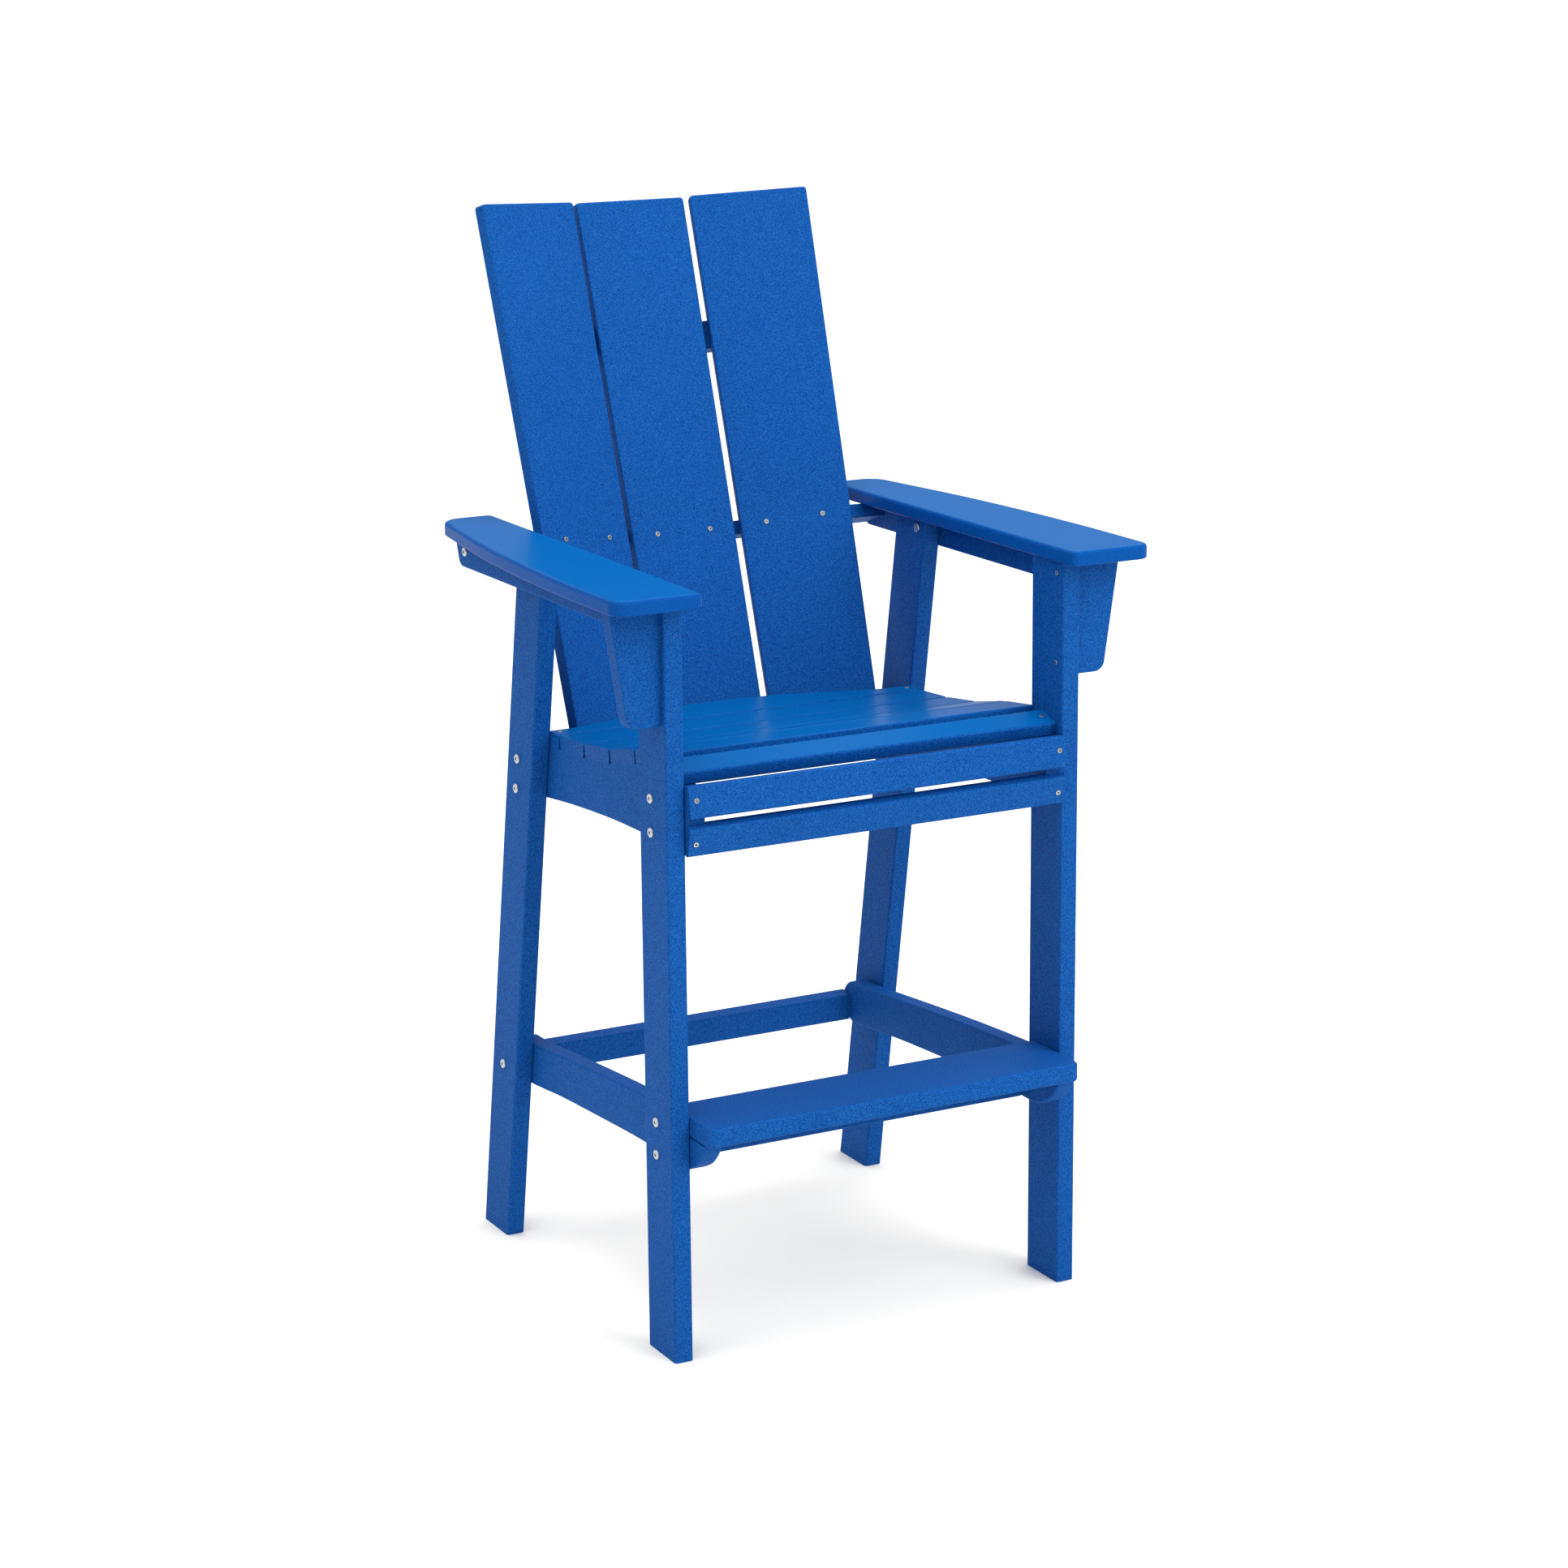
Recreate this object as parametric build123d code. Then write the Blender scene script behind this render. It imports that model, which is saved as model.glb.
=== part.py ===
from build123d import *
from math import atan2, cos, degrees, hypot, radians, sin, tan
import os

# Bar-height adirondack chair in plank lumber, all sizes in mm.
# X is across the chair, Y runs from front to back, Z is up.
# Distances in Y are measured from a plane just behind the front faces of the
# front legs, and the whole chair is shifted by Y_CENTRE at export, so the
# origin ends up on the floor in the middle of the overall footprint.
# "left" is the -X side, which is on the left when the chair is seen from the front.

# ---------------------------------------------------------------- sizes
Y_CENTRE = 324.5            # middle of the overall depth
FRAME_T = 25.4              # thickness of legs, rails, stretchers and footrest
BOARD_T = 19.0              # thickness of arms, slats, aprons and back boards
STRIP_H = 38.8              # height of the narrow strips cut from frame stock
EDGE_R = 3.0                # rounded long edges of every plank

LEG_W = 76.2                # front-to-back width of a leg
LEG_FRONT = -0.6            # front face of a front leg
LEG_OUT = 296.8             # outer face of the legs from the centre plane
LEG_IN = LEG_OUT - FRAME_T
RAIL_IN = LEG_IN - FRAME_T
LEG_TOP = 977.5             # underside of the arms

REAR_FOOT_Y = 520.8         # front face of a rear leg at the floor
REAR_LEAN = 9.98            # rear legs lean forward towards the top, degrees

ARM_LEN_FRONT = -41.0       # front edge of the arms
ARM_IN_FRONT = 262.0
ARM_IN_REAR = 259.0
ARM_OUT = 380.0
ARM_REAR = 594.6
ARM_RAIL_BOTTOM = 939.2
BRACKET_Y = 10.4            # front face of the bracket behind the leg front
BRACKET_BOTTOM = 825.5
BRACKET_OUT_TOP = 364.0
BRACKET_OUT_BOTTOM = 341.0

SLAT_GAP = 4.6
SLAT_SCREW_X = 262.0
# top surface of the seat at the slat joints, rear to front, as (y, z)
SEAT_TOP = [(395.0, 740.9), (365.0, 740.5), (290.0, 744.6), (214.3, 753.3), (140.0, 768.5), (67.3, 777.1)]
FRONT_SLAT_REAR = (49.8, 775.3)
FRONT_SLAT_TILT = 16.4
FRONT_SLAT_W = 38.5
SEAT_REAR_MID = 444.0       # rear edge of the seat at the centre plane
SEAT_REAR_END = 396.0       # rear edge of the seat near the legs

APRON_UP_H = 41.0
APRON_UP_FRONT = (-15.5, 711.5)   # lower front edge of the upper apron
APRON_UP_TILT = 9.0
APRON_LOW_H = 38.6
APRON_LOW_FRONT = (-14.2, 698.2)  # upper front edge of the lower apron
APRON_LOW_TILT = 14.0
TONGUE = 7.5                # how far the rail's tip reaches in between the aprons

BACK_ORIGIN = (463.2, 750.0)      # front face of the middle board near the seat
BACK_LEAN = 19.0                  # lean of the back from upright
BACK_TURN = 18.3                  # side boards turned towards the middle
BACK_LOW = -86.0                  # lower ends of the boards along the back
BACK_TOP_MID = 682.5
BACK_TOP_IN = 682.8
BACK_TOP_OUT = 674.8
MID_HALF = 75.8                   # half width of the middle board near the seat
MID_HALF_TOP = 81.5
SIDE_X = 84.0                     # inner front edge of a side board near the seat
SIDE_W = 150.3
SIDE_STEP = 3.9                   # how far the side boards stand in front of the middle one
SIDE_IN_FAN = 3.8 / 682.0         # sideways drift of the board edges per mm of height
SIDE_OUT_FAN = 18.0 / 682.0

SUPPORT_ARM_V = 220.6             # middle of the arm-level support along the back
SUPPORT_LOW_V = -58.0
BRACE_V = 491.0
SUPPORT_DEPTH = 43.0
BRACE_DEPTH = 32.0

STRETCHER_END = (510.0, 256.3)    # centre of the round rear end of a side stretcher
STRETCHER_END_R = 30.0
FOOTREST_TOP = 323.0
FOOTREST_FRONT = -53.5
FOOTREST_REAR = 61.0
CROSS_Y = 51.8                    # front face of the footrest cross rail
CROSS_BOTTOM = 250.3
REAR_STRETCHER = (516.6, 265.8)   # upper front edge of the rear stretcher
REAR_STRETCHER_TILT = 7.0

BOLT_HEAD_R = 6.4
BOLT_HEAD_H = 3.2
BOLT_R = 3.0
BOLT_LEN = 40.0
SCREW_HEAD_R = 3.4
SCREW_PROUD = 0.5                 # how far a screw head stands out of its hole's mouth
SCREW_MOUTH = 0.7                 # width of the open ring around a screw head
SCREW_R = 1.9
SCREW_LEN = 34.0
CLEAR = 0.08                      # radial room around every fastener shank

parts = {}


# ---------------------------------------------------------------- helpers
def on_side(x_low, x_high, outline, radius, keep=None):
    """Plank with its outline in the YZ plane, between two X positions."""
    body = extrude(Plane.YZ.offset(x_low) * make_face(outline), x_high - x_low)
    rim = body.edges().filter_by(lambda e: abs(e.bounding_box().size.X) < 1e-4)
    if keep is not None:
        rim = rim.filter_by(lambda e: not keep(e))
    return fillet(rim, radius)


def strip_x(half_len, section):
    """Plank running across the chair with a rounded section in the YZ plane."""
    return extrude(Plane.YZ.offset(-half_len) * section, 2 * half_len)


def tilted_rect(corner, along, depth, width, angle):
    """Rounded rectangle in YZ: one corner, then 'along' its tilted face.

    The first side runs from the corner along the direction given by angle
    (degrees above +Y) for 'along' mm, the second one is 'depth' mm below it.
    """
    a = radians(angle)
    centre_y = corner[0] + along / 2 * cos(a) + depth / 2 * sin(a)
    centre_z = corner[1] + along / 2 * sin(a) - depth / 2 * cos(a)
    return Pos(centre_y, centre_z) * Rot(0, 0, angle) * RectangleRounded(along, depth, width)


def both_sides(name, right_body):
    """Register the right-hand (+X) piece and its mirror image."""
    parts[name + "_right"] = right_body
    parts[name + "_left"] = mirror(right_body, about=Plane.YZ)


def add_solids(name, bodies):
    """Register identical fasteners as one node of separate solids."""
    parts[name] = Compound(children=list(bodies))


def bolt(point, direction, length=BOLT_LEN):
    """Round-headed bolt with a hex socket; point is on the surface, direction goes in."""
    seat = Plane(origin=point, z_dir=direction)
    shank = extrude(seat * Circle(BOLT_R), length)
    head = extrude(seat * Circle(BOLT_HEAD_R), -BOLT_HEAD_H)
    rim = head.edges().filter_by(GeomType.CIRCLE).sort_by(lambda e: (e.center() - Vector(*point)).length)[-1]
    head = fillet(rim, 1.9)
    socket = extrude(seat.offset(-BOLT_HEAD_H) * RegularPolygon(2.6, 6), 2.0)
    return shank + head - socket


def screw(point, direction, length=SCREW_LEN):
    """Countersunk screw with a cross recess and a head that stands out a little."""
    seat = Plane(origin=point, z_dir=direction)
    cone = loft([seat.offset(0.3) * Circle(SCREW_HEAD_R), seat.offset(2.6) * Circle(SCREW_R)])
    cap = extrude(seat.offset(-SCREW_PROUD) * Circle(SCREW_HEAD_R), SCREW_PROUD + 0.3)
    rim = cap.edges().filter_by(GeomType.CIRCLE).sort_by(lambda e: (e.center() - Vector(*point)).length)[-1]
    cap = fillet(rim, 0.35)
    shank = extrude(seat.offset(2.6) * Circle(SCREW_R), length - 2.6)
    cross = extrude(seat.offset(-SCREW_PROUD) * (Rectangle(4.4, 1.5) + Rectangle(1.5, 4.4)), 2.3)
    return cap + cone + shank - cross


def bolt_hole(point, direction, length=BOLT_LEN):
    """Round hole that takes the shank of a bolt."""
    seat = Plane(origin=point, z_dir=direction)
    return extrude(seat.offset(-1) * Circle(BOLT_R + CLEAR), length + 1.2)


def screw_hole(point, direction, length=SCREW_LEN):
    """Countersunk hole that takes a screw."""
    seat = Plane(origin=point, z_dir=direction)
    mouth = extrude(seat.offset(-3) * Circle(SCREW_HEAD_R + SCREW_MOUTH), 3.8)
    wide = seat.offset(0.3) * Circle(SCREW_HEAD_R + CLEAR)
    narrow = seat.offset(2.6 + CLEAR) * Circle(SCREW_R + CLEAR)
    cone = loft([wide, narrow])
    shank = extrude(seat.offset(2.0) * Circle(SCREW_R + CLEAR), length - 1.8)
    return mouth + cone + shank


def fasten(group, maker, holes, places, nodes, length):
    """Make one group of fasteners and drill the planks they pass through."""
    add_solids(group, [maker(p, d, length) for p, d in places])
    for node in nodes:
        for p, d in places:
            tool = holes(p, d, length)
            if tool.bounding_box().size.length > 0:
                parts[node] = parts[node] - tool


def mirrored(places):
    """Add the mirror image of every (point, direction) pair."""
    flipped = [((-p[0], p[1], p[2]), (-d[0], d[1], d[2])) for p, d in places]
    return places + flipped


def meet(p1, a1, p2, a2):
    """Intersection of two lines in YZ given by a point and an angle in degrees."""
    d1 = (cos(radians(a1)), sin(radians(a1)))
    d2 = (cos(radians(a2)), sin(radians(a2)))
    det = d1[0] * d2[1] - d1[1] * d2[0]
    t = ((p2[0] - p1[0]) * d2[1] - (p2[1] - p1[1]) * d2[0]) / det
    return (p1[0] + t * d1[0], p1[1] + t * d1[1])


# ---------------------------------------------------------------- legs
leg_section = RectangleRounded(FRAME_T, LEG_W, EDGE_R)
leg_x = (LEG_OUT + LEG_IN) / 2
front_leg = Pos(leg_x, LEG_FRONT + LEG_W / 2, 0) * extrude(leg_section, LEG_TOP)
both_sides("front_leg", front_leg)

lean_tan = tan(radians(REAR_LEAN))
long_leg = Pos(leg_x, 0, 0) * Rot(REAR_LEAN, 0, 0) * Pos(0, LEG_W / 2, -60) * extrude(leg_section, LEG_TOP + 180)
slab = Pos(leg_x, 300, LEG_TOP / 2) * Box(4 * FRAME_T, 1600, LEG_TOP)
rear_leg = (Pos(0, REAR_FOOT_Y, 0) * long_leg) & slab
both_sides("rear_leg", rear_leg)

# ---------------------------------------------------------------- seat slats
slat_angle = []
for rear, front in zip(SEAT_TOP[:-1], SEAT_TOP[1:]):
    run = rear[0] - front[0]
    slat_angle.append(degrees(atan2(rear[1] - front[1], run)))

for index in range(1, 5):
    rear, front = SEAT_TOP[index], SEAT_TOP[index + 1]
    length = hypot(rear[0] - front[0], rear[1] - front[1])
    angle = slat_angle[index]
    lead = SLAT_GAP / 2
    start = (front[0] + lead * cos(radians(angle)), front[1] + lead * sin(radians(angle)))
    section = tilted_rect(start, length - SLAT_GAP, BOARD_T, EDGE_R, angle)
    parts["seat_slat_%d" % (index + 1)] = strip_x(LEG_IN, section)

# the rear slat is cut to a curve that follows the back boards
front_y = SEAT_TOP[1][0] + SLAT_GAP / 2
rear_curve = Spline(
    (-248, SEAT_REAR_END),
    (-215, SEAT_REAR_END + 5),
    (-120, SEAT_REAR_MID - 16),
    (0, SEAT_REAR_MID),
    (120, SEAT_REAR_MID - 16),
    (215, SEAT_REAR_END + 5),
    (248, SEAT_REAR_END),
    tangents=[(1, 0), (1, 0)],
)
rear_outline = [
    rear_curve,
    Line((248, SEAT_REAR_END), (LEG_IN, SEAT_REAR_END)),
    Line((LEG_IN, SEAT_REAR_END), (LEG_IN, front_y)),
    Line((LEG_IN, front_y), (-LEG_IN, front_y)),
    Line((-LEG_IN, front_y), (-LEG_IN, SEAT_REAR_END)),
    Line((-LEG_IN, SEAT_REAR_END), (-248, SEAT_REAR_END)),
]
seat_z = SEAT_TOP[1][1]
rear_slat = extrude(Plane.XY.offset(seat_z - BOARD_T) * make_face(rear_outline), BOARD_T)
long_rims = rear_slat.edges().filter_by(lambda e: e.bounding_box().size.X > 20)
parts["seat_slat_1"] = fillet(long_rims, EDGE_R - 0.2)

tilt = radians(FRONT_SLAT_TILT)
front_corner = (
    FRONT_SLAT_REAR[0] - FRONT_SLAT_W * cos(tilt),
    FRONT_SLAT_REAR[1] - FRONT_SLAT_W * sin(tilt),
)
parts["front_slat"] = strip_x(
    LEG_IN,
    tilted_rect(front_corner, FRONT_SLAT_W, BOARD_T, EDGE_R, FRONT_SLAT_TILT),
)

# ---------------------------------------------------------------- front aprons
up = radians(APRON_UP_TILT)
apron_up_top = (
    APRON_UP_FRONT[0] + APRON_UP_H * sin(up),
    APRON_UP_FRONT[1] + APRON_UP_H * cos(up),
)
parts["front_apron_upper"] = strip_x(
    LEG_IN - 0.5,
    tilted_rect(apron_up_top, BOARD_T, APRON_UP_H, EDGE_R, -APRON_UP_TILT),
)
parts["front_apron_lower"] = strip_x(
    LEG_IN - 0.5,
    tilted_rect(APRON_LOW_FRONT, BOARD_T, APRON_LOW_H, EDGE_R, APRON_LOW_TILT),
)

# ---------------------------------------------------------------- seat rails
# the top of the rail is the slat line lowered by one slat thickness
low = []
for index, point in enumerate(SEAT_TOP[:-1]):
    a = radians(slat_angle[index] if index else 0.0)
    low.append(((point[0] + BOARD_T * sin(a), point[1] - BOARD_T * cos(a)), slat_angle[index] if index else 0.0))
rail_top = [(SEAT_TOP[0][0], seat_z - BOARD_T)]
for (p1, a1), (p2, a2) in zip(low[:-1], low[1:]):
    p1 = (p1[0], seat_z - BOARD_T) if a1 == 0.0 else p1
    rail_top.append(meet(p1, a1, p2, a2))
slat_under = (front_corner[0] + BOARD_T * sin(tilt), front_corner[1] - BOARD_T * cos(tilt))
last_point, last_angle = low[-1]
crest = meet(last_point, last_angle, slat_under, FRONT_SLAT_TILT)
apron_up_back = (
    apron_up_top[0] + BOARD_T * cos(up),
    apron_up_top[1] - BOARD_T * sin(up),
)
apron_up_low_back = (
    APRON_UP_FRONT[0] + BOARD_T * cos(up),
    APRON_UP_FRONT[1] - BOARD_T * sin(up),
)
down = radians(APRON_LOW_TILT)
apron_low_back = (
    APRON_LOW_FRONT[0] + BOARD_T * cos(down),
    APRON_LOW_FRONT[1] + BOARD_T * sin(down),
)
apron_low_end = (
    apron_low_back[0] + APRON_LOW_H * sin(down),
    apron_low_back[1] - APRON_LOW_H * cos(down),
)
nose_top = meet(slat_under, FRONT_SLAT_TILT, apron_up_back, 90 - APRON_UP_TILT)
tongue_up = (apron_up_low_back[0] - TONGUE * cos(up), apron_up_low_back[1] + TONGUE * sin(up))
tongue_low = (apron_low_back[0] - TONGUE * cos(down), apron_low_back[1] - TONGUE * sin(down))
rail_outline = [
    Polyline(
        (467.0, seat_z - BOARD_T),
        *rail_top,
        crest,
        nose_top,
        apron_up_low_back,
        tongue_up,
        tongue_low,
        apron_low_back,
        apron_low_end,
    ),
    Spline(
        apron_low_end,
        (26.0, 660.8),
        (75.0, 662.7),
        (124.0, 663.5),
        (193.0, 662.1),
        (265.0, 658.5),
        (340.0, 653.1),
        (405.0, 646.6),
        (460.0, 640.2),
    ),
    ThreePointArc((460.0, 640.2), (471.5, 646.9), (475.5, 659.0)),
    Line((475.5, 659.0), (467.0, seat_z - BOARD_T)),
]
seat_rail = extrude(Plane.YZ.offset(RAIL_IN) * make_face(rail_outline), FRAME_T)
lower_rims = seat_rail.edges().filter_by(
    lambda e: e.bounding_box().size.X < 1e-4 and e.center().Z < 700 and e.center().Y > 20
)
both_sides("seat_rail", fillet(lower_rims, EDGE_R))

# ---------------------------------------------------------------- side stretchers
ey, ez = STRETCHER_END
er = STRETCHER_END_R
seat_of_footrest = FOOTREST_TOP - FRAME_T
step_y = FOOTREST_REAR + 1.0
stretcher_outline = [
    Spline(
        (ey, ez + er),
        (420.0, 291.8),
        (350.0, 298.0),
        (260.0, 305.5),
        (175.0, 311.8),
        (100.0, 316.4),
        (step_y, 318.3),
        tangents=[(-1, 0), (-1, 0.04)],
    ),
    Line((step_y, 318.3), (step_y, seat_of_footrest)),
    Line((step_y, seat_of_footrest), (-41.0, seat_of_footrest)),
    Spline(
        (-41.0, seat_of_footrest),
        (-34.0, 283.5),
        (-19.0, 267.5),
        (2.0, 255.6),
        (30.0, 250.6),
        tangents=[(0.15, -1), (1, 0)],
    ),
    Spline(
        (30.0, 250.6),
        (125.0, 251.2),
        (200.0, 248.2),
        (300.0, 242.2),
        (400.0, 235.4),
        (ey, ez - er),
        tangents=[(1, 0), (1, -0.04)],
    ),
    ThreePointArc((ey, ez - er), (ey + er, ez), (ey, ez + er)),
]
side_stretcher = extrude(Plane.YZ.offset(RAIL_IN) * make_face(stretcher_outline), FRAME_T)
stretcher_rims = side_stretcher.edges().filter_by(
    lambda e: e.bounding_box().size.X < 1e-4 and not (e.bounding_box().size.Z < 1e-4 or e.bounding_box().size.Y < 1e-4)
)
both_sides("side_stretcher", fillet(stretcher_rims, EDGE_R))

# ---------------------------------------------------------------- lower cross pieces
parts["rear_stretcher"] = strip_x(
    RAIL_IN,
    tilted_rect(REAR_STRETCHER, FRAME_T, STRIP_H, EDGE_R, REAR_STRETCHER_TILT),
)
parts["footrest_cross_rail"] = strip_x(
    RAIL_IN,
    tilted_rect((CROSS_Y, CROSS_BOTTOM + STRIP_H), FRAME_T, STRIP_H, EDGE_R, 0),
)
footrest_mid_y = (FOOTREST_FRONT + FOOTREST_REAR) / 2
footrest_flat = Rectangle(2 * LEG_IN, FOOTREST_REAR - FOOTREST_FRONT)
front_corners = footrest_flat.vertices().sort_by(Axis.Y)[:2]
footrest_flat = fillet(front_corners, 11.0)
footrest = Pos(0, footrest_mid_y, seat_of_footrest) * extrude(footrest_flat, FRAME_T)
footrest_rims = footrest.edges().filter_by(
    lambda e: e.bounding_box().size.Z < 1e-4 and e.bounding_box().size.X > 1.0
)
parts["footrest_board"] = fillet(footrest_rims, 4.0)

# ---------------------------------------------------------------- arms
arm_outer = Spline(
    (ARM_OUT, 70.0),
    (ARM_OUT - 1.6, 150.0),
    (ARM_OUT - 6.0, 245.0),
    (ARM_OUT - 11.2, 318.0),
    (ARM_OUT - 18.3, 392.0),
    (ARM_OUT - 27.0, 460.0),
    (ARM_OUT - 37.2, 530.0),
    tangents=[(0, 1), (-0.15, 1)],
)
arm_rear_out = ARM_OUT - 46.8
arm_outline = [
    arm_outer,
    Line((ARM_OUT - 37.2, 530.0), (arm_rear_out, ARM_REAR)),
    Line((arm_rear_out, ARM_REAR), (ARM_IN_REAR, ARM_REAR)),
    Line((ARM_IN_REAR, ARM_REAR), (ARM_IN_FRONT, ARM_LEN_FRONT)),
    Line((ARM_IN_FRONT, ARM_LEN_FRONT), (ARM_OUT, ARM_LEN_FRONT)),
    Line((ARM_OUT, ARM_LEN_FRONT), (ARM_OUT, 70.0)),
]
arm = extrude(Plane.XY.offset(LEG_TOP) * make_face(arm_outline), BOARD_T)


def upright_at(body, x, y):
    """The vertical edge of a plank nearest to a plan position."""
    uprights = body.edges().filter_by(Axis.Z)
    return uprights.sort_by(lambda e: hypot(e.center().X - x, e.center().Y - y))[0]


arm = fillet(upright_at(arm, ARM_IN_FRONT, ARM_LEN_FRONT), 8.0)
arm = fillet(upright_at(arm, ARM_OUT, ARM_LEN_FRONT), 20.0)
arm = fillet(upright_at(arm, arm_rear_out, ARM_REAR), 31.0)
arm = fillet(upright_at(arm, ARM_IN_REAR, ARM_REAR), 10.0)
arm = fillet(arm.faces().sort_by(Axis.Z)[-1].edges(), 5.0)
arm = fillet(arm.faces().sort_by(Axis.Z)[0].edges(), 2.5)
both_sides("arm", arm)

# ---------------------------------------------------------------- arm rails and brackets
rail_front = BRACKET_Y + FRAME_T
arm_rail_outline = [
    Polyline(
        (547.0, ARM_RAIL_BOTTOM - 0.8),
        (rail_front, ARM_RAIL_BOTTOM),
        (rail_front, LEG_TOP),
        (572.5, LEG_TOP),
        (563.0, 949.0),
    ),
    ThreePointArc((563.0, 949.0), (558.5, 941.8), (547.0, ARM_RAIL_BOTTOM - 0.8)),
]
arm_rail = on_side(
    LEG_OUT,
    LEG_OUT + FRAME_T,
    arm_rail_outline,
    EDGE_R - 0.5,
    keep=lambda e: e.center().Z > LEG_TOP - 0.1 or e.center().Y < rail_front + 0.1,
)
both_sides("arm_rail", arm_rail)

bracket_corner = 15.0
bracket_face = make_face(
    Polyline(
        (LEG_OUT, BRACKET_BOTTOM),
        (BRACKET_OUT_BOTTOM, BRACKET_BOTTOM),
        (BRACKET_OUT_TOP, LEG_TOP),
        (LEG_OUT, LEG_TOP),
        close=True,
    )
)
lower_outer = bracket_face.vertices().sort_by(lambda v: hypot(v.X - BRACKET_OUT_BOTTOM, v.Y - BRACKET_BOTTOM))[0]
bracket_face = fillet(lower_outer, bracket_corner)
bracket = extrude(Plane.XZ.offset(-BRACKET_Y) * bracket_face, -FRAME_T)
bracket_rims = bracket.edges().filter_by(
    lambda e: e.bounding_box().size.Y < 1e-4
    and e.center().X > LEG_OUT + 0.5
    and e.center().Z < LEG_TOP - 0.5
)
both_sides("arm_bracket", fillet(bracket_rims, EDGE_R))

# ---------------------------------------------------------------- back boards
lean = radians(BACK_LEAN)
turn = radians(BACK_TURN)
BACK_UP = Vector(0, sin(lean), cos(lean))
BACK_IN = Vector(0, cos(lean), -sin(lean))
ORIGIN = Vector(0, BACK_ORIGIN[0], BACK_ORIGIN[1])


def back_point(x, depth, height):
    """Point given by its X, its depth behind the middle board's face and its height up the back."""
    return ORIGIN + Vector(x, 0, 0) + BACK_IN * depth + BACK_UP * height


def back_board(face_plane, outline):
    """Board cut to an outline drawn on its front face, with rounded edges."""
    face = make_face(Polyline(*outline, close=True))
    top_corners = face.vertices().sort_by(Axis.Y)[-2:]
    face = fillet(top_corners, 5.0)
    body = extrude(face_plane * face, -BOARD_T)
    rims = body.edges().filter_by(lambda e: abs((e @ 1 - e @ 0).dot(face_plane.z_dir)) < 1e-4)
    rims = rims.filter_by(lambda e: (e.center() - ORIGIN).dot(BACK_UP) > BACK_LOW + 5)
    return fillet(rims, EDGE_R)


mid_plane = Plane(origin=ORIGIN, x_dir=Vector(1, 0, 0), z_dir=BACK_IN * -1)
mid_low = MID_HALF + (MID_HALF_TOP - MID_HALF) * BACK_LOW / BACK_TOP_MID
parts["back_board_middle"] = back_board(
    mid_plane,
    [(-mid_low, BACK_LOW), (mid_low, BACK_LOW), (MID_HALF_TOP, BACK_TOP_MID), (-MID_HALF_TOP, BACK_TOP_MID)],
)

SIDE_DIR = Vector(cos(turn), -sin(turn) * cos(lean), sin(turn) * sin(lean))
SIDE_BACK = Vector(sin(turn), cos(turn) * cos(lean), -cos(turn) * sin(lean))
side_origin = back_point(SIDE_X, -SIDE_STEP, 0.0)
side_plane = Plane(origin=side_origin, x_dir=SIDE_DIR, z_dir=SIDE_BACK * -1)
side_board = back_board(
    side_plane,
    [
        (SIDE_IN_FAN * BACK_LOW, BACK_LOW),
        (SIDE_W + SIDE_OUT_FAN * BACK_LOW, BACK_LOW),
        (SIDE_W + SIDE_OUT_FAN * BACK_TOP_OUT, BACK_TOP_OUT),
        (SIDE_IN_FAN * BACK_TOP_IN, BACK_TOP_IN),
    ],
)
both_sides("back_board", side_board)

# ---------------------------------------------------------------- supports behind the back
# plan outlines use X and the depth behind the front face of the middle board
side_in_depth = -SIDE_STEP + BOARD_T * cos(turn)
side_in_x = SIDE_X + BOARD_T * sin(turn)


def side_depth(x):
    """Depth of the back face of a side board at a given X."""
    return side_in_depth - (x - side_in_x) * tan(turn)


def mid_half(height):
    """Half width of the middle board at a height up the back."""
    return MID_HALF + (MID_HALF_TOP - MID_HALF) * height / BACK_TOP_MID


def support(height_mid, height, half_len, end_front, end_rear, depth):
    """Cross board behind the back with a faceted front edge."""
    knee = 232.0 if half_len > 232.0 else half_len
    step_x = mid_half(height_mid + height / 2) + 0.3
    front = [(0, BOARD_T), (step_x, BOARD_T), (step_x, side_depth(step_x)), (knee, side_depth(knee))]
    if half_len > 232.0:
        front = front + [(half_len, end_front)]
        rear = [(half_len, end_rear), (250.0 if half_len > 255.0 else half_len, end_rear), (112.0, BOARD_T + depth)]
        if half_len <= 255.0:
            rear = [(half_len, end_rear), (112.0, BOARD_T + depth)]
    else:
        rear = [(half_len, side_depth(half_len) + depth * 0.9), (90.0, BOARD_T + depth)]
    half = front + rear
    other = [(-x, w) for x, w in reversed(half) if x > 0]
    plane = Plane(
        origin=ORIGIN + BACK_UP * (height_mid - height / 2),
        x_dir=Vector(1, 0, 0),
        z_dir=BACK_UP,
    )
    face = make_face(Polyline(*(half + other), close=True))
    return extrude(plane * face, height)


def soften(body, radius):
    """Round the long rims of a support except where it meets other boards."""
    rims = body.edges().filter_by(lambda e: abs((e @ 1 - e @ 0).dot(BACK_UP)) < 1e-4)
    rims = rims.filter_by(lambda e: (e.center() - ORIGIN).dot(BACK_IN) > 26 and e.length > 40)
    return fillet(rims, radius)


parts["back_support_arm_level"] = soften(
    support(SUPPORT_ARM_V, BOARD_T, LEG_OUT, -28.0, 24.0, SUPPORT_DEPTH), 2.5
)
parts["back_support_lower"] = soften(
    support(SUPPORT_LOW_V, BOARD_T, RAIL_IN, -29.0, 24.0, SUPPORT_DEPTH), 2.5
)
parts["back_brace_upper"] = soften(
    support(BRACE_V, STRIP_H, 222.0, 0, 0, BRACE_DEPTH), 2.5
)

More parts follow.
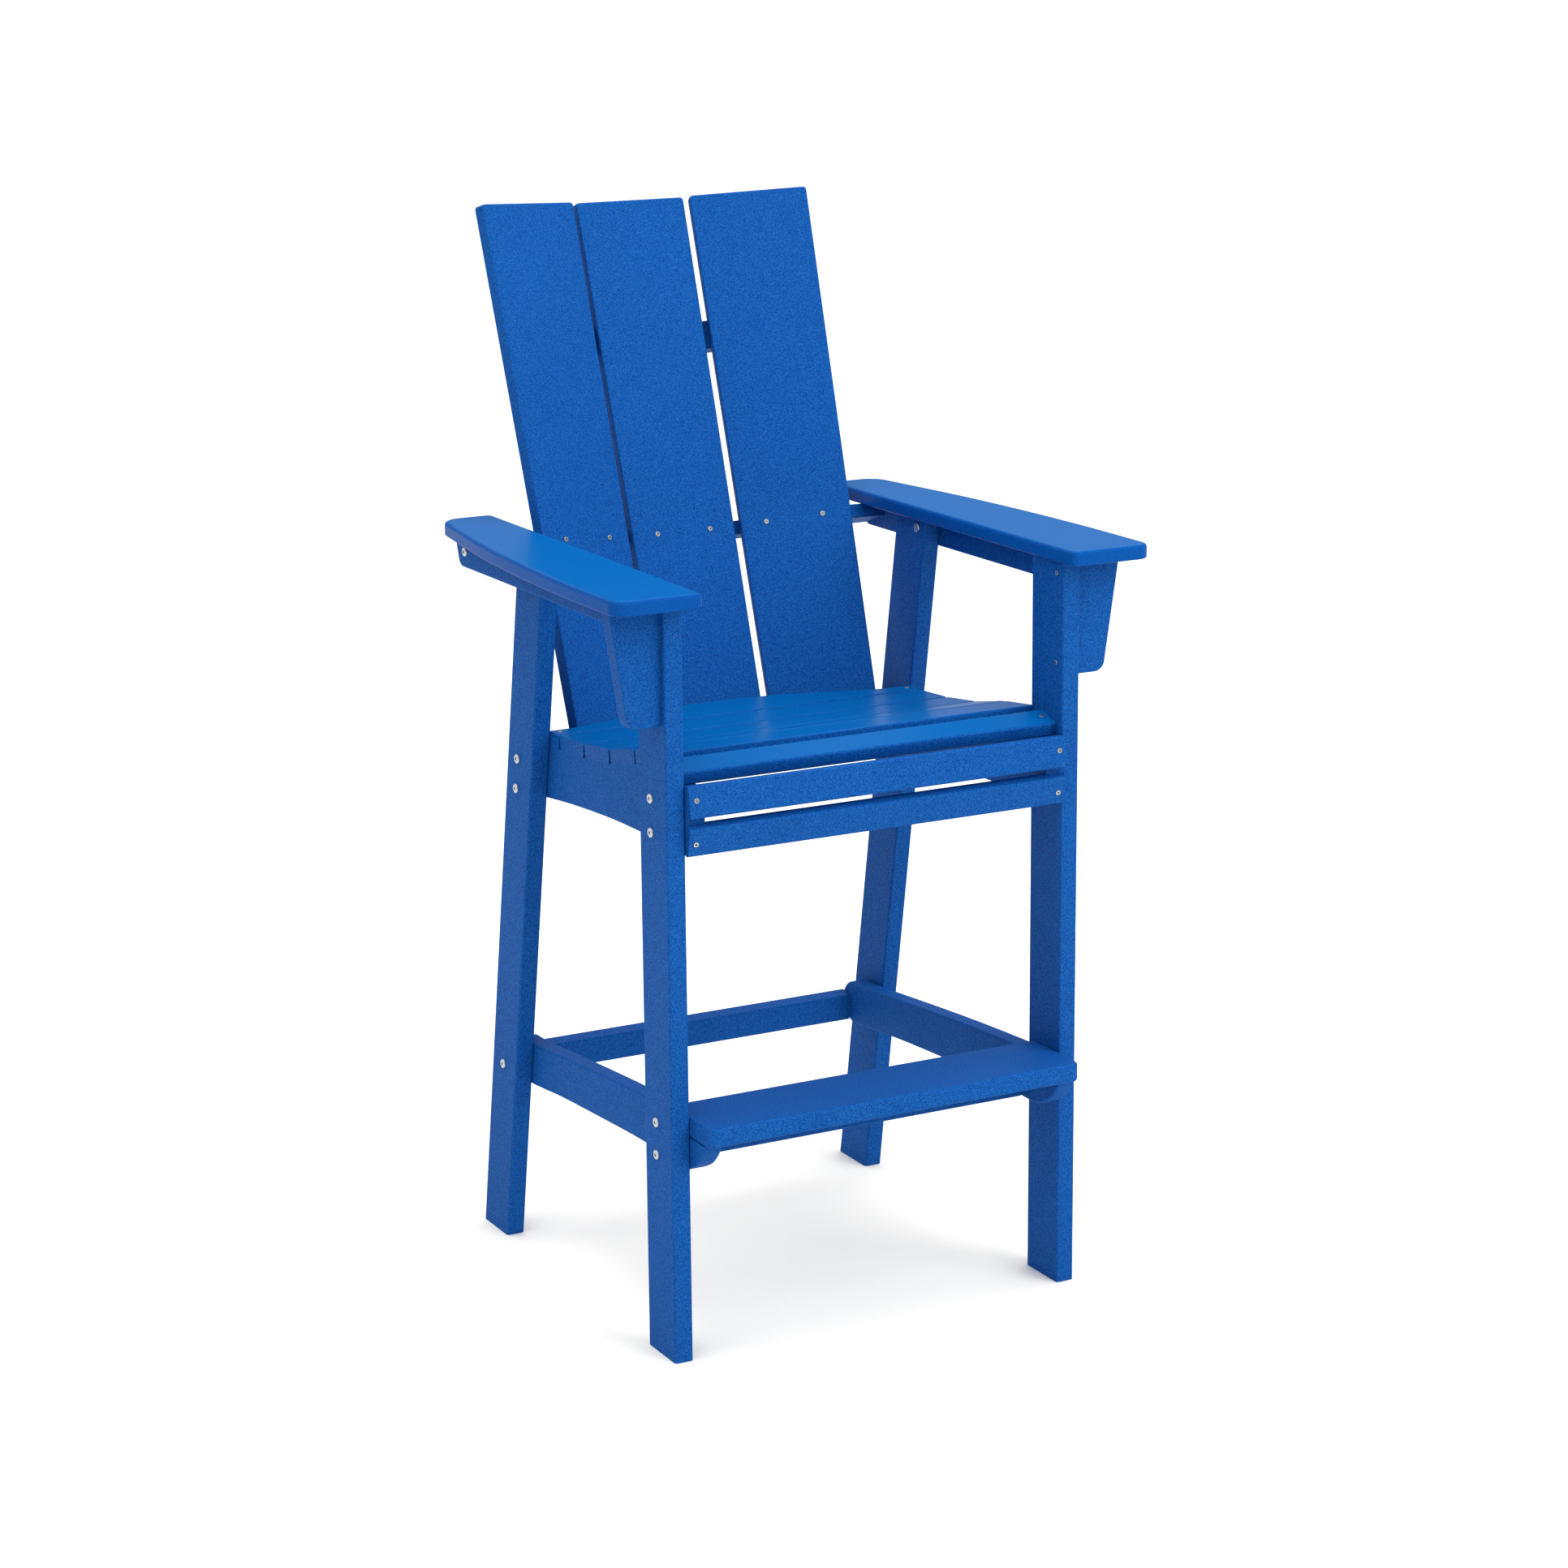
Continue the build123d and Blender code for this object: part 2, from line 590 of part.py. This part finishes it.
# ---------------------------------------------------------------- fasteners
# bolts through the outer faces of the legs
rear_seat_low = (448.6, 654.0)
rear_seat_up = (442.0, 695.7)
seat_places = [
    ((LEG_OUT, 42.0, 729.6), (-1, 0, 0)),
    ((LEG_OUT, 42.0, 686.3), (-1, 0, 0)),
    ((LEG_OUT, rear_seat_low[0], rear_seat_low[1]), (-1, 0, 0)),
]
legs = ["front_leg_left", "front_leg_right", "rear_leg_left", "rear_leg_right"]
seat_rails = ["seat_rail_left", "seat_rail_right"]
fasten("seat_rail_bolts", bolt, bolt_hole, mirrored(seat_places), legs + seat_rails, BOLT_LEN)

long_places = [((LEG_OUT, rear_seat_up[0], rear_seat_up[1]), (-1, 0, 0))]
fasten(
    "seat_rail_long_bolts",
    bolt,
    bolt_hole,
    mirrored(long_places),
    legs[2:] + seat_rails + ["back_support_lower"],
    72.0,
)

stretcher_places = [
    ((LEG_OUT, 41.6, 267.4), (-1, 0, 0)),
    ((LEG_OUT, 516.0, 251.5), (-1, 0, 0)),
]
stretchers = ["side_stretcher_left", "side_stretcher_right"]
fasten("stretcher_bolts", bolt, bolt_hole, mirrored(stretcher_places), legs + stretchers, BOLT_LEN)

footrest_places = [((LEG_OUT, 41.4, FOOTREST_TOP - FRAME_T / 2), (-1, 0, 0))]
fasten("footrest_bolts", bolt, bolt_hole, mirrored(footrest_places), legs[:2] + ["footrest_board"], 60.0)

# bolts at the rear of the arms
arm_rails = ["arm_rail_left", "arm_rail_right"]
end_places = [((LEG_OUT + FRAME_T, 537.5, 960.8), (-1, 0, 0))]
fasten(
    "arm_rail_end_bolts",
    bolt,
    bolt_hole,
    mirrored(end_places),
    arm_rails + ["back_support_arm_level"],
    60.0,
)
inside_places = [((LEG_IN, 369.5, 964.5), (1, 0, 0))]
fasten("arm_rail_leg_bolts", bolt, bolt_hole, mirrored(inside_places), legs[2:] + arm_rails, BOLT_LEN)

# screws through the front legs into the brackets
bracket_places = [
    ((LEG_IN, 16.6, 959.9), (1, 0, 0)),
    ((LEG_IN, 16.6, 843.0), (1, 0, 0)),
]
brackets = ["arm_bracket_left", "arm_bracket_right"]
fasten("bracket_screws", screw, screw_hole, mirrored(bracket_places), legs[:2] + brackets, 44.0)

# screws through the back boards into the two lower supports
back_boards = ["back_board_left", "back_board_middle", "back_board_right"]


def board_places(height):
    """Two screws per back board at one height, driven from the front."""
    mid = back_point(40.0, 0.0, height)
    places = [(tuple(mid), tuple(BACK_IN))]
    for across in (37.0, 116.0):
        spot = side_origin + SIDE_DIR * across + BACK_UP * height
        places.append((tuple(spot), tuple(SIDE_BACK)))
    return mirrored(places)


fasten(
    "arm_level_back_screws",
    screw,
    screw_hole,
    board_places(SUPPORT_ARM_V),
    back_boards + ["back_support_arm_level"],
    SCREW_LEN,
)
fasten(
    "lower_back_screws",
    screw,
    screw_hole,
    board_places(SUPPORT_LOW_V),
    back_boards + ["back_support_lower"],
    SCREW_LEN,
)


def brace_places():
    """Screws driven from behind through the upper brace into the boards."""
    mid = back_point(40.0, BOARD_T + BRACE_DEPTH, BRACE_V)
    places = [(tuple(mid), tuple(BACK_IN * -1))]
    rear_a = back_point(90.0, BOARD_T + BRACE_DEPTH, BRACE_V)
    rear_b = back_point(222.0, side_depth(222.0) + BRACE_DEPTH * 0.9, BRACE_V)
    along = (rear_b - rear_a).normalized()
    inward = along.cross(BACK_UP).normalized()
    if inward.dot(BACK_IN) > 0:
        inward = inward * -1
    for share in (0.28, 0.78):
        spot = rear_a + (rear_b - rear_a) * share
        places.append((tuple(spot), tuple(inward)))
    return mirrored(places)


fasten(
    "back_brace_screws",
    screw,
    screw_hole,
    brace_places(),
    back_boards + ["back_brace_upper"],
    42.0,
)

# screws at the ends of the front and rear slats
rear_slat_places = [((SLAT_SCREW_X, 383.0, seat_z), (0, 0, -1))]
fasten(
    "rear_slat_screws",
    screw,
    screw_hole,
    mirrored(rear_slat_places),
    ["seat_slat_1"] + seat_rails,
    SCREW_LEN,
)
slat_mid = (
    FRONT_SLAT_REAR[0] - 0.45 * FRONT_SLAT_W * cos(tilt),
    FRONT_SLAT_REAR[1] - 0.45 * FRONT_SLAT_W * sin(tilt),
)
front_slat_places = [((SLAT_SCREW_X, slat_mid[0], slat_mid[1]), (0, sin(tilt), -cos(tilt)))]
fasten(
    "front_slat_screws",
    screw,
    screw_hole,
    mirrored(front_slat_places),
    ["front_slat"] + seat_rails,
    SCREW_LEN,
)

# screws at the ends of the aprons
half = APRON_UP_H / 2 + 2.0
up_spot = (SLAT_SCREW_X - 1.0, APRON_UP_FRONT[0] + half * sin(up), APRON_UP_FRONT[1] + half * cos(up))
half = APRON_LOW_H / 2 + 2.0
low_spot = (SLAT_SCREW_X - 1.0, APRON_LOW_FRONT[0] + half * sin(down), APRON_LOW_FRONT[1] - half * cos(down))
apron_places = [
    (up_spot, (0, cos(up), -sin(up))),
    (low_spot, (0, cos(down), sin(down))),
]
fasten(
    "apron_screws",
    screw,
    screw_hole,
    mirrored(apron_places),
    ["front_apron_upper", "front_apron_lower"] + seat_rails,
    SCREW_LEN,
)

# ---------------------------------------------------------------- export
os.makedirs("parts", exist_ok=True)
for name, body in parts.items():
    placed = Pos(0, -Y_CENTRE, 0) * body
    placed.label = name
    export_step(placed, "parts/" + name + ".step")
print(len(parts), "parts written")
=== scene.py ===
import math

import bpy
from mathutils import Matrix, Vector


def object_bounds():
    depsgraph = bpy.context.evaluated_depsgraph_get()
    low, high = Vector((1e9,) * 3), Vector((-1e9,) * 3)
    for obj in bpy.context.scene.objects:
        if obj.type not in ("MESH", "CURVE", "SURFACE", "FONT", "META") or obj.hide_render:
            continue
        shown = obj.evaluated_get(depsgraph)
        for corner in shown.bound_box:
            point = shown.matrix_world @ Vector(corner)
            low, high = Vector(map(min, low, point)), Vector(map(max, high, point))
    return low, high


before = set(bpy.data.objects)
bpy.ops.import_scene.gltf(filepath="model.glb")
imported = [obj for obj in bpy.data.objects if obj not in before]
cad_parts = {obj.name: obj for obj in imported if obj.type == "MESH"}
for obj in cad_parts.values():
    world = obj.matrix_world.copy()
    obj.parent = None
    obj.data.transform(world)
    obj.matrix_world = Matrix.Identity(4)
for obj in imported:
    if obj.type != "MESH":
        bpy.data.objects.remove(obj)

CAD_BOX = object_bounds()

# ---------------------------------------------------------------- driving values
# colours are linear RGB
LUMBER = (0.0010, 0.0600, 0.2750)
LUMBER_LIGHT = (0.0180, 0.1500, 0.5000)  # the light and dark flecks in it
LUMBER_DARK = (0.0005, 0.0220, 0.1150)
LUMBER_PAINTED_TOP_LIGHT = (0.0006, 0.0860, 0.2950)    # painted top light: a lighter, greener colour on the upward faces of arms and slats, standing in for the light that falls on them from above
STEEL = (0.50, 0.52, 0.56)
FLOOR_TONE = (0.87, 0.857, 0.81)

# sizes are in metres
GRAIN_SIZE = 0.0017          # one fleck of the plastic's grain
GRAIN_RANGE = (0.34, 0.68)   # noise values that give the darkest and the lightest fleck
DRIFT_SIZE = 0.16            # slow change of tone along a plank
DRIFT_RANGE = (0.3, 0.7)
DRIFT_DEPTH = 0.05
FLECK_SHARE = 0.42           # how much of the colour comes from the flecks
FLECK_SHARE_ARM = 0.16       # the arms' edges are cleaner than the sawn planks
FLECK_SHARE_TOP = 0.14
PIT_DEPTH = 0.0006
PIT_STRENGTH = 0.35
PIT_STRENGTH_TOP = 0.06
LUMBER_ROUGHNESS = 0.62
SMOOTH_ROUGHNESS = 0.33
LUMBER_SHINE = 0.055
SMOOTH_SHINE = 0.022

TURNING_MARK = 0.0006
STEEL_SPREAD = (0.88, 1.08)  # darkest and lightest of the turning marks
STEEL_ROUGHNESS = 0.40

FLOOR_PATCH = 1.5
FLOOR_SPREAD = 0.995
FLOOR_ROUGHNESS = 0.9
FLOOR_SHINE = 0.1
FLOOR_DROP = 0.0002          # keeps the floor just clear of the feet

FLOOR_RADIUS = 40.0
SKY_LOW = 0.40               # brightness of the sky just over the horizon
SKY_HIGH = 1.90              # and overhead
SKY_BELOW = 1.20             # and under the horizon, past the floor's rim
SKY_RANGE = (0.05, 0.95)     # heights on a unit dome between which it brightens
KEY_PLACE = (1.8, -3.8, 3.6)
KEY_SIZE = 3.0
KEY_WATTS = 120.0
TOP_PLACE = (-0.4, 0.2, 5.0)
TOP_SIZE = 3.5
TOP_WATTS = 60.0

CAMERA_PLACE = (-2.2516, -4.3081, 1.8645)
CAMERA_YAW = 27.996          # degrees from +Y towards +X
CAMERA_PITCH = -14.038
CAMERA_ROLL = -0.504
CAMERA_LENS = 86.24          # mm, on a sensor 36 mm wide
SENSOR = 36.0
VIEW_DEPTH = 200.0

ARM_NODES = ("arm_left", "arm_right")
SLAT_STARTS = ("seat_slat", "front_slat")    # front_slat_screws is caught as a fastener first
FASTENER_ENDS = ("bolts", "screws")
UPWARD = (0.80, 0.97)        # normal Z over which the grain fades and the painted top light comes in on arms and slats

scene = bpy.context.scene


# ---------------------------------------------------------------- materials
def new_material(name):
    """A node material with its Principled shader."""
    mat = bpy.data.materials.new(name)
    mat.use_nodes = True
    return mat, mat.node_tree, mat.node_tree.nodes["Principled BSDF"]


def noise(tree, coords, size, detail, roughness):
    """Noise whose features are about size metres across."""
    tex = tree.nodes.new("ShaderNodeTexNoise")
    tex.inputs["Scale"].default_value = 1.0 / size
    tex.inputs["Detail"].default_value = detail
    tex.inputs["Roughness"].default_value = roughness
    tree.links.new(coords, tex.inputs["Vector"])
    return tex.outputs["Fac"]


def ramp(tree, value, low, high, colour_low, colour_high):
    """Colour that runs from colour_low at value low to colour_high at value high."""
    node = tree.nodes.new("ShaderNodeValToRGB")
    node.color_ramp.elements[0].position = low
    node.color_ramp.elements[1].position = high
    node.color_ramp.elements[0].color = (*colour_low, 1.0)
    node.color_ramp.elements[1].color = (*colour_high, 1.0)
    tree.links.new(value, node.inputs["Fac"])
    return node.outputs["Color"]


def spread(colour, factor):
    """The same colour, lighter or darker by a factor."""
    return [c * factor for c in colour]


def mix(tree, factor, first, second):
    """Blend of two colours by a factor socket or number."""
    node = tree.nodes.new("ShaderNodeMix")
    node.data_type = "RGBA"
    if isinstance(factor, float):
        node.inputs["Factor"].default_value = factor
    else:
        tree.links.new(factor, node.inputs["Factor"])
    tree.links.new(first, node.inputs["A"])
    tree.links.new(second, node.inputs["B"])
    return node.outputs["Result"]


def upward_mask(tree):
    """One on faces that look straight up, zero on upright ones."""
    normal = tree.nodes.new("ShaderNodeTexCoord").outputs["Normal"]
    split = tree.nodes.new("ShaderNodeSeparateXYZ")
    tree.links.new(normal, split.inputs["Vector"])
    span = tree.nodes.new("ShaderNodeMapRange")
    span.interpolation_type = "SMOOTHSTEP"
    span.inputs["From Min"].default_value = UPWARD[0]
    span.inputs["From Max"].default_value = UPWARD[1]
    tree.links.new(split.outputs["Z"], span.inputs["Value"])
    return span.outputs["Result"]


def blend(tree, mask, plain, masked):
    """A number that goes from plain to masked as the mask goes from 0 to 1."""
    span = tree.nodes.new("ShaderNodeMapRange")
    span.inputs["To Min"].default_value = plain
    span.inputs["To Max"].default_value = masked
    tree.links.new(mask, span.inputs["Value"])
    return span.outputs["Result"]


def lumber(name, fleck_share, smooth_tops_painted_light):
    """Matte recycled-plastic lumber: a flecked blue with a fine pitted skin."""
    mat, tree, shader = new_material(name)
    coords = tree.nodes.new("ShaderNodeTexCoord").outputs["Object"]
    grain = noise(tree, coords, GRAIN_SIZE, 1.0, 0.6)
    drift = noise(tree, coords, DRIFT_SIZE, 2.0, 0.5)

    flecks = ramp(tree, grain, *GRAIN_RANGE, LUMBER_DARK, LUMBER_LIGHT)
    darker = spread(LUMBER, 1.0 - DRIFT_DEPTH)
    lighter = spread(LUMBER, 1.0 + DRIFT_DEPTH)
    base = ramp(tree, drift, *DRIFT_RANGE, darker, lighter)
    pits = tree.nodes.new("ShaderNodeBump")
    pits.inputs["Distance"].default_value = PIT_DEPTH
    tree.links.new(grain, pits.inputs["Height"])
    if smooth_tops_painted_light:
        mask = upward_mask(tree)
        share = blend(tree, mask, fleck_share, FLECK_SHARE_TOP)
        tree.links.new(blend(tree, mask, PIT_STRENGTH, PIT_STRENGTH_TOP), pits.inputs["Strength"])
    else:
        share = fleck_share
        pits.inputs["Strength"].default_value = PIT_STRENGTH
    colour = mix(tree, share, base, flecks)
    # painted top light: upward faces take a lighter plain colour that stands in for the light from
    # above
    if smooth_tops_painted_light:
        plain = tree.nodes.new("ShaderNodeRGB")
        plain.outputs["Color"].default_value = (*LUMBER_PAINTED_TOP_LIGHT, 1.0)
        colour = mix(tree, mask, colour, plain.outputs["Color"])
    tree.links.new(colour, shader.inputs["Base Color"])
    tree.links.new(pits.outputs["Normal"], shader.inputs["Normal"])

    shader.inputs["Roughness"].default_value = SMOOTH_ROUGHNESS if smooth_tops_painted_light else LUMBER_ROUGHNESS
    shader.inputs["Specular IOR Level"].default_value = SMOOTH_SHINE if smooth_tops_painted_light else LUMBER_SHINE
    return mat


def stainless(name):
    """Plain stainless steel with faint turning marks."""
    mat, tree, shader = new_material(name)
    coords = tree.nodes.new("ShaderNodeTexCoord").outputs["Object"]
    marks = noise(tree, coords, TURNING_MARK, 3.0, 0.6)
    darker, lighter = (spread(STEEL, factor) for factor in STEEL_SPREAD)
    tone = ramp(tree, marks, *DRIFT_RANGE, darker, lighter)
    tree.links.new(tone, shader.inputs["Base Color"])
    shader.inputs["Metallic"].default_value = 1.0
    shader.inputs["Roughness"].default_value = STEEL_ROUGHNESS
    return mat


def floor_material(name):
    """Pale matte floor with a barely visible variation in tone."""
    mat, tree, shader = new_material(name)
    coords = tree.nodes.new("ShaderNodeTexCoord").outputs["Object"]
    drift = noise(tree, coords, FLOOR_PATCH, 2.0, 0.5)
    tone = ramp(tree, drift, *DRIFT_RANGE, spread(FLOOR_TONE, FLOOR_SPREAD), FLOOR_TONE)
    tree.links.new(tone, shader.inputs["Base Color"])
    shader.inputs["Roughness"].default_value = FLOOR_ROUGHNESS
    shader.inputs["Specular IOR Level"].default_value = FLOOR_SHINE
    return mat


plank_lumber = lumber("blue_lumber", FLECK_SHARE, smooth_tops_painted_light=False)
slat_lumber = lumber("blue_lumber_slats", FLECK_SHARE, smooth_tops_painted_light=True)
arm_lumber = lumber("blue_lumber_arms", FLECK_SHARE_ARM, smooth_tops_painted_light=True)
steel = stainless("stainless_steel")

for name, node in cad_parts.items():
    if name.endswith(FASTENER_ENDS):
        finish = steel
    elif name in ARM_NODES:
        finish = arm_lumber
    elif name.startswith(SLAT_STARTS):
        finish = slat_lumber
    else:
        finish = plank_lumber
    node.data.materials.clear()
    node.data.materials.append(finish)


# ---------------------------------------------------------------- floor and light
low, high = (Vector(corner) for corner in CAD_BOX)
middle = (low + high) / 2


def make_floor():
    """A wide round floor under the chair."""
    bpy.ops.mesh.primitive_circle_add(vertices=128, radius=FLOOR_RADIUS, fill_type="NGON")
    floor = bpy.context.object
    floor.name = "floor"
    floor.location = (middle.x, middle.y, low.z - FLOOR_DROP)
    floor.data.materials.append(floor_material("pale_floor"))


def make_dome():
    """White light from every side, brighter overhead than at the horizon."""
    world = bpy.data.worlds.new("studio")
    world.use_nodes = True
    tree = world.node_tree
    background = tree.nodes["Background"]
    background.inputs["Color"].default_value = (1.0, 1.0, 1.0, 1.0)
    split = tree.nodes.new("ShaderNodeSeparateXYZ")
    direction = tree.nodes.new("ShaderNodeTexCoord").outputs["Generated"]
    tree.links.new(direction, split.inputs["Vector"])
    sky = tree.nodes.new("ShaderNodeMapRange")
    sky.interpolation_type = "SMOOTHSTEP"
    sky.inputs["From Min"].default_value = SKY_RANGE[0]
    sky.inputs["From Max"].default_value = SKY_RANGE[1]
    sky.inputs["To Min"].default_value = SKY_LOW
    sky.inputs["To Max"].default_value = SKY_HIGH
    tree.links.new(split.outputs["Z"], sky.inputs["Value"])
    below = tree.nodes.new("ShaderNodeMath")
    below.operation = "LESS_THAN"
    below.inputs[1].default_value = 0.0
    tree.links.new(split.outputs["Z"], below.inputs[0])
    strength = tree.nodes.new("ShaderNodeMix")
    strength.data_type = "FLOAT"
    tree.links.new(below.outputs["Value"], strength.inputs["Factor"])
    tree.links.new(sky.outputs["Result"], strength.inputs["A"])
    strength.inputs["B"].default_value = SKY_BELOW
    tree.links.new(strength.outputs["Result"], background.inputs["Strength"])
    scene.world = world


def area_light(name, place, aim, size, watts):
    """A square soft box at place, facing aim."""
    data = bpy.data.lights.new(name, "AREA")
    data.shape = "SQUARE"
    data.size = size
    data.energy = watts
    lamp = bpy.data.objects.new(name, data)
    lamp.location = place
    direction = Vector(aim) - Vector(place)
    lamp.rotation_euler = direction.to_track_quat("-Z", "Y").to_euler()
    scene.collection.objects.link(lamp)
    return lamp


make_floor()
make_dome()
key = area_light("key", KEY_PLACE, middle, KEY_SIZE, KEY_WATTS)
key.visible_glossy = False   # keeps the polished screw heads from burning out
area_light("top", TOP_PLACE, middle, TOP_SIZE, TOP_WATTS)


# ---------------------------------------------------------------- camera
def make_camera():
    """Camera given by its place, yaw, pitch, roll and lens."""
    data = bpy.data.cameras.new("camera")
    data.sensor_fit = "HORIZONTAL"
    data.sensor_width = SENSOR
    data.lens = CAMERA_LENS
    data.clip_end = VIEW_DEPTH
    yaw, pitch, roll = (math.radians(a) for a in (CAMERA_YAW, CAMERA_PITCH, CAMERA_ROLL))
    reach = math.cos(pitch)
    forward = Vector((math.sin(yaw) * reach, math.cos(yaw) * reach, math.sin(pitch)))
    level = Vector((math.cos(yaw), -math.sin(yaw), 0.0))
    upright = level.cross(forward)
    right = math.cos(roll) * level + math.sin(roll) * upright
    above = math.cos(roll) * upright - math.sin(roll) * level
    turn = Matrix((right, above, -forward)).transposed().to_4x4()
    camera = bpy.data.objects.new("camera", data)
    camera.matrix_world = Matrix.Translation(CAMERA_PLACE) @ turn
    scene.collection.objects.link(camera)
    scene.camera = camera


make_camera()
scene.view_settings.view_transform = "Standard"
scene.view_settings.look = "None"
